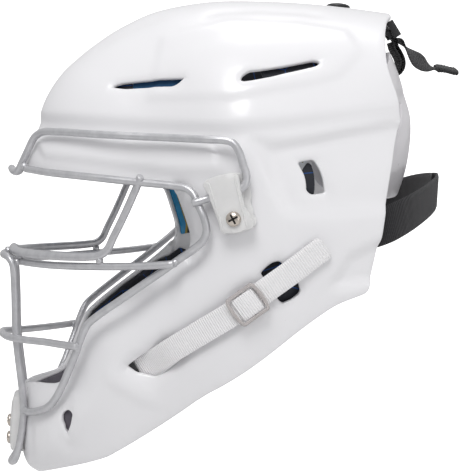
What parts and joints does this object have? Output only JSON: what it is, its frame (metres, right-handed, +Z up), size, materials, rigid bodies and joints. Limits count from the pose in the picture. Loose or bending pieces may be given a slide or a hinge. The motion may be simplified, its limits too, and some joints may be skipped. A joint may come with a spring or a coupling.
{
  "type": "catcher's mask",
  "caption": "Hockey-style catcher's helmet: one-piece shell with a welded wire cage on clips, padded inside, with strapped rear plate.",
  "frame": {"origin": "middle of the crown pad's flat underside, where the top of the head rests, on the mask's middle plane", "axes": "-X is the way the wearer faces, +Z up, wearer's left side at -Y"},
  "size_m": [0.3216, 0.2426, 0.3242],
  "materials": {
    "cage_steel": "silver powder-coated round steel bar",
    "clear_plastic": "clear moulded plastic",
    "clip_plastic": "semi-clear smoky moulded plastic",
    "elastic_black": "black ribbed elastic",
    "elastic_white": "white ribbed elastic",
    "fastener_steel": "nickel-plated steel",
    "pad_blue": "blue knit over foam, with a yellow edge and a dark face",
    "pad_dark": "dark knit with a fine blue pattern over foam",
    "shell_plastic": "pearl white injection moulding with a soft gloss",
    "trim_black": "black nylon moulding",
    "webbing_black": "black polypropylene webbing"
  },
  "bodies": {
    "shell": {"front_shell": "shell_plastic", "cage_brow_bar": "cage_steel", "left_cage_side_bar": "cage_steel", "right_cage_side_bar": "cage_steel", "cage_eye_bar": "cage_steel", "cage_nose_bar": "cage_steel", "cage_mouth_bar": "cage_steel", "cage_chin_loop": "cage_steel", "left_cage_clip": "clip_plastic", "right_cage_clip": "clip_plastic", "left_clip_screw": "fastener_steel", "right_clip_screw": "fastener_steel", "left_clip_t_nut": "fastener_steel", "right_clip_t_nut": "fastener_steel", "chin_cage_clip": "clip_plastic", "upper_chin_screw": "fastener_steel", "lower_chin_screw": "fastener_steel", "upper_chin_nut": "fastener_steel", "lower_chin_nut": "fastener_steel", "brow_pad": "pad_blue", "left_temple_pad": "pad_blue", "right_temple_pad": "pad_blue", "left_jaw_pad": "pad_dark", "right_jaw_pad": "pad_dark", "left_side_pad": "pad_blue", "right_side_pad": "pad_blue", "chin_pad": "pad_dark", "crown_pad": "pad_blue", "left_jaw_strap": "elastic_white", "right_jaw_strap": "elastic_white", "left_jaw_strap_anchor": "trim_black", "right_jaw_strap_anchor": "trim_black", "top_strap_cap": "trim_black", "top_strap_inner_web": "webbing_black", "left_rear_strap": "elastic_black", "right_rear_strap": "elastic_black", "left_lower_rear_rivet": "fastener_steel", "right_lower_rear_rivet": "fastener_steel", "left_upper_rear_rivet": "fastener_steel", "right_upper_rear_rivet": "fastener_steel"},
    "back_plate": {"back_plate": "shell_plastic", "back_plate_pad": "pad_blue", "top_strap": "webbing_black"},
    "top_buckle": {"top_strap_buckle": "trim_black"},
    "left_buckle": {"left_strap_buckle": "clear_plastic"},
    "right_buckle": {"right_strap_buckle": "clear_plastic"}
  },
  "joints": [
    {"name": "back_plate_swing", "type": "hinge", "parent": "shell", "child": "back_plate", "pos_m": [0.0895, 0, -0.012], "axis": [0, -1, 0], "range_deg": [0, 16], "stiffness_Nm_per_rad": 1.5, "springref_deg": -17.19, "deforming": ["top_strap", "left_rear_strap", "right_rear_strap"]},
    {"name": "top_buckle_tilt", "type": "hinge", "parent": "shell", "child": "top_buckle", "pos_m": [0.095, 0, 0.0074], "axis": [0, -1, 0], "range_deg": [0, 22]},
    {"name": "left_buckle_slide", "type": "slide", "parent": "shell", "child": "left_buckle", "axis": [-0.8114, 0.1432, -0.5668], "range_m": [-0.006, 0.006], "deforming": ["left_jaw_strap"]},
    {"name": "right_buckle_slide", "type": "slide", "parent": "shell", "child": "right_buckle", "axis": [-0.8114, -0.1432, -0.5668], "range_m": [-0.006, 0.006], "deforming": ["right_jaw_strap"]}
  ]
}
